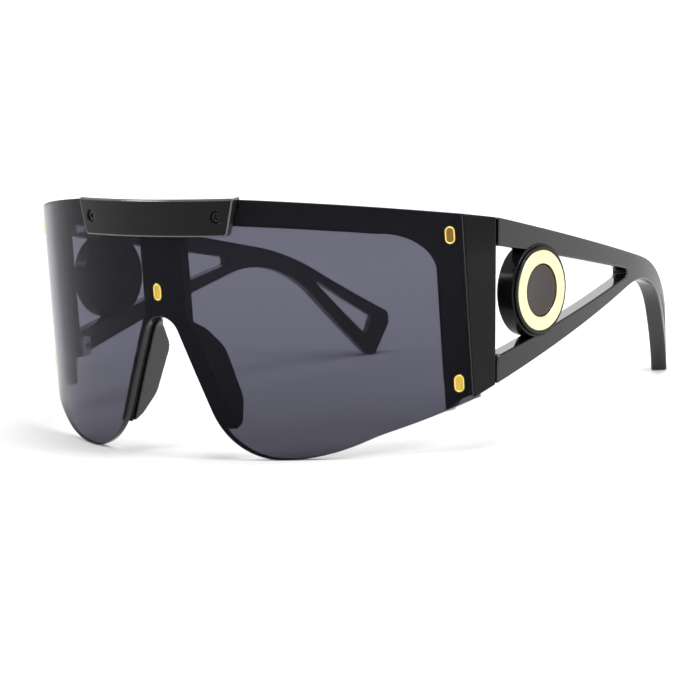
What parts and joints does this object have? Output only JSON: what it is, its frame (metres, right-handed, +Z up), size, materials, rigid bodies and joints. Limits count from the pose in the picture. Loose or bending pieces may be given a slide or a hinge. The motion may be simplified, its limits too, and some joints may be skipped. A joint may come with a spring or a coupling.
{
  "type": "shield sunglasses",
  "caption": "Shield sunglasses: one wide curved smoke lens on a black frame, with folding open-work temples and round gold medallions.",
  "frame": {"origin": "on the ground under the middle of the part, which stands on the lens's two lower lobes and the two temple tips", "axes": "+X toward the wearer's left, +Y from the front of the lens to the temple tips, +Z up"},
  "size_m": [0.1514, 0.1554, 0.0649],
  "materials": {
    "lens": "smoke-grey moulded lens, polished, see-through",
    "frame": "gloss black moulded plastic",
    "brow": "satin black moulded plastic",
    "temples": "satin black moulded plastic",
    "pads": "soft satin black pads",
    "dark_screws": "blackened screws",
    "gold": "bright pale gold plating",
    "rim": "gloss black rim",
    "cap": "dark brown-grey polished cap",
    "steel": "stainless hinge parts"
  },
  "bodies": {
    "front": {"lens": "lens", "front_frame": "frame", "brow_bar": "brow", "brow_screws": "dark_screws", "lens_rivets": "gold", "nose_pad_left": "pads", "nose_pad_right": "pads", "hinge_upper_front_left": "steel", "hinge_upper_front_right": "steel", "hinge_lower_front_left": "steel", "hinge_lower_front_right": "steel", "hinge_screws_left": "steel", "hinge_screws_right": "steel", "leaf_screws_front": "steel"},
    "temple_left": {"temple_left": "temples", "medallion_bezel_left": "rim", "medallion_ring_left": "gold", "medallion_cap_left": "cap", "hinge_upper_temple_left": "steel", "hinge_lower_temple_left": "steel", "leaf_screws_temple_left": "steel"},
    "temple_right": {"temple_right": "temples", "medallion_bezel_right": "rim", "medallion_ring_right": "gold", "medallion_cap_right": "cap", "hinge_upper_temple_right": "steel", "hinge_lower_temple_right": "steel", "leaf_screws_temple_right": "steel"}
  },
  "joints": [
    {"name": "left_temple_fold", "type": "hinge", "parent": "front", "child": "temple_left", "pos_m": [0.06674, -0.03685, 0], "axis": [0.0321, 0.0715, 0.9969], "range_deg": [0, 90]},
    {"name": "right_temple_fold", "type": "hinge", "parent": "front", "child": "temple_right", "pos_m": [-0.06674, -0.03685, 0], "axis": [0.0321, -0.0715, -0.9969], "range_deg": [0, 75]}
  ]
}
